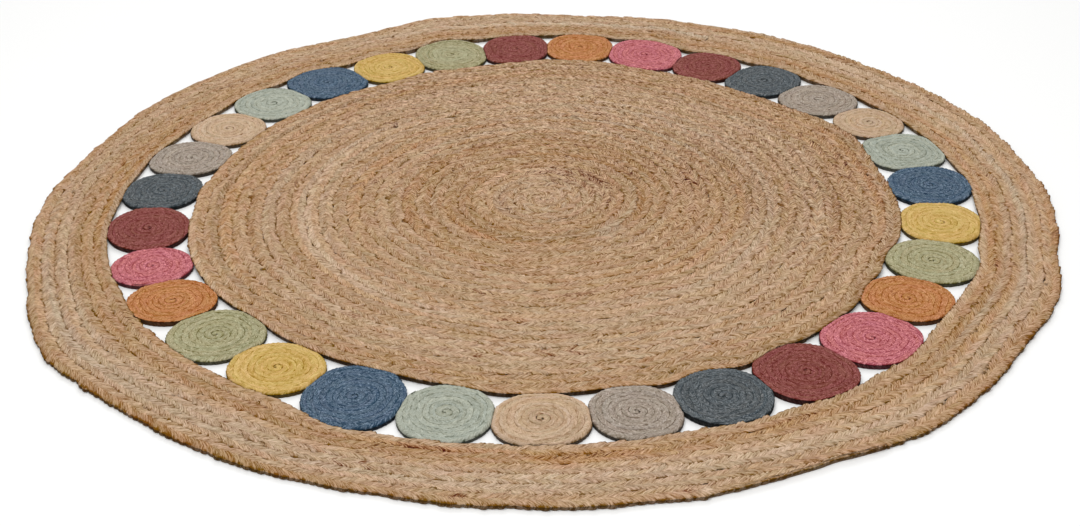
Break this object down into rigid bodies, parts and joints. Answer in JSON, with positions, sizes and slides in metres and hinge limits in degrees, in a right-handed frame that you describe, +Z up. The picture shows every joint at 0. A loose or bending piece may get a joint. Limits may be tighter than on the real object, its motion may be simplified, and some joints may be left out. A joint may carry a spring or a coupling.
{
  "type": "round jute rug",
  "caption": "Flat round rug: a coiled plaited jute disc, a ring of small coloured coiled rounds sewn round it, and a coiled plaited outer band.",
  "frame": {"origin": "on the floor under the middle of the centre disc, on the disc's flat underside", "axes": "+Z up, out of the rug's face; -Y towards the side that is nearest in the picture; +X to the right there"},
  "size_m": [1.4995, 1.5084, 0.0095],
  "materials": {
    "jute": "matt plaited jute",
    "beige": "matt coiled beige jute plait",
    "taupe": "matt coiled taupe jute plait",
    "slate": "matt coiled slate jute plait",
    "maroon": "matt coiled maroon jute plait",
    "pink": "matt coiled pink jute plait",
    "orange": "matt coiled orange jute plait",
    "sage": "matt coiled sage jute plait",
    "mustard": "matt coiled mustard jute plait",
    "blue": "matt coiled blue jute plait",
    "mint": "matt coiled mint jute plait"
  },
  "bodies": {
    "root": {"centre_disc": "jute", "medallion_01": "beige", "medallion_02": "taupe", "medallion_03": "slate", "medallion_04": "maroon", "medallion_05": "pink", "medallion_06": "orange", "medallion_07": "sage", "medallion_08": "mustard", "medallion_09": "blue", "medallion_10": "mint", "medallion_11": "beige", "medallion_12": "taupe", "medallion_13": "slate", "medallion_14": "maroon", "medallion_15": "pink", "medallion_16": "orange", "medallion_17": "maroon", "medallion_18": "sage", "medallion_19": "mustard", "medallion_20": "blue", "medallion_21": "mint", "medallion_22": "beige", "medallion_23": "taupe", "medallion_24": "slate", "medallion_25": "maroon", "medallion_26": "pink", "medallion_27": "orange", "medallion_28": "sage", "medallion_29": "mustard", "medallion_30": "blue", "medallion_31": "mint", "outer_band": "jute"}
  },
  "joints": []
}
